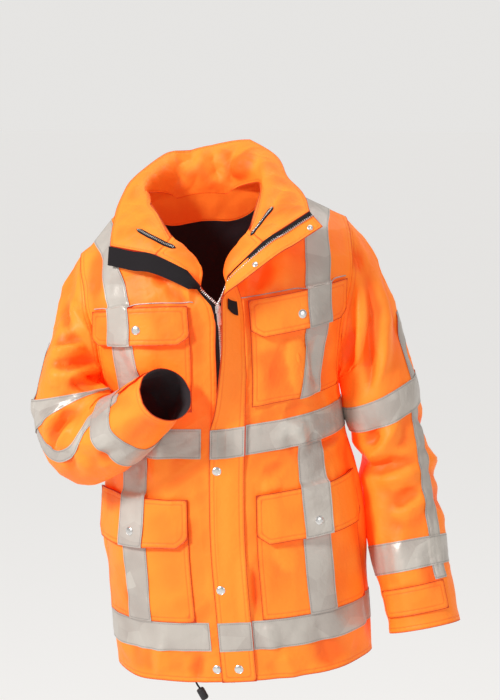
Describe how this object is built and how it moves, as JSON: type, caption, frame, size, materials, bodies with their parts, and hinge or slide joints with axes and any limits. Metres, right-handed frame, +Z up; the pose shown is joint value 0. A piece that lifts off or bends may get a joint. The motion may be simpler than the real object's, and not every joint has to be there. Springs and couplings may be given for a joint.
{
  "type": "hi-vis work jacket",
  "caption": "Fluorescent orange work jacket with grey reflective tapes, worn open at the collar, with a storm flap, flapped chest and hip pockets and tabbed cuffs.",
  "frame": {"origin": "centre of the base of the neck, level with the shoulder seams, where the wearer's shoulders hold the jacket", "axes": "+Z up, -Y out of the jacket's front, +X towards the wearer's left sleeve"},
  "size_m": [0.7179, 0.436, 0.9334],
  "materials": {
    "orange_cloth": "coated fluorescent polyester, faint sheen",
    "grey_tape": "sewn retroreflective tape, silver grey",
    "dark_cloth": "black woven zip tape and cord",
    "bright_metal": "plated zip and snap fasteners",
    "black_plastic": "moulded cord toggle"
  },
  "bodies": {
    "jacket": {"back": "orange_cloth", "back_brace_left": "grey_tape", "back_brace_right": "grey_tape", "back_hem_tape": "grey_tape", "back_waist_tape": "grey_tape", "brace_tape_left": "grey_tape", "brace_tape_right": "grey_tape", "chest_flap_left": "orange_cloth", "chest_flap_right": "orange_cloth", "chest_pocket_left": "orange_cloth", "chest_pocket_right": "orange_cloth", "chest_pocket_tape_left": "grey_tape", "chest_pocket_tape_right": "grey_tape", "collar": "orange_cloth", "cuff_tab_left": "orange_cloth", "cuff_tab_right": "orange_cloth", "drawcord": "dark_cloth", "flap_patch": "dark_cloth", "front_left": "orange_cloth", "front_right": "orange_cloth", "guard_strip": "dark_cloth", "hem_tape_left": "grey_tape", "hem_tape_right": "grey_tape", "hem_tape_storm_flap": "grey_tape", "hip_flap_left": "orange_cloth", "hip_flap_right": "orange_cloth", "hip_flap_tape_left": "grey_tape", "hip_flap_tape_right": "grey_tape", "hip_pocket_left": "orange_cloth", "hip_pocket_right": "orange_cloth", "hip_pocket_tape_left": "grey_tape", "hip_pocket_tape_right": "grey_tape", "piping_left": "grey_tape", "piping_right": "grey_tape", "sleeve_left": "orange_cloth", "sleeve_long_tape_left": "grey_tape", "sleeve_long_tape_right": "grey_tape", "sleeve_lower_tape_left": "grey_tape", "sleeve_lower_tape_right": "grey_tape", "sleeve_right": "orange_cloth", "sleeve_upper_tape_left": "grey_tape", "sleeve_upper_tape_right": "grey_tape", "snap_chest_left": "bright_metal", "snap_chest_right": "bright_metal", "snap_hem_flap": "bright_metal", "snap_hem_right": "bright_metal", "snap_hip_left": "bright_metal", "snap_hip_right": "bright_metal", "snap_storm_lower": "bright_metal", "snap_storm_upper": "bright_metal", "storm_flap": "orange_cloth", "toggle": "black_plastic", "waist_tape_left": "grey_tape", "waist_tape_right": "grey_tape", "waist_tape_storm_flap": "grey_tape", "zip_slider": "bright_metal", "zip_tape_left": "dark_cloth", "zip_tape_right": "dark_cloth"},
    "zip_pull": {"zip_pull": "bright_metal"}
  },
  "joints": [
    {"name": "zip_pull_swing", "type": "hinge", "parent": "jacket", "child": "zip_pull", "pos_m": [0.0435, -0.16961, -0.15814], "axis": [-0.9812, -0.1736, -0.0841], "range_deg": [0, 150]}
  ]
}
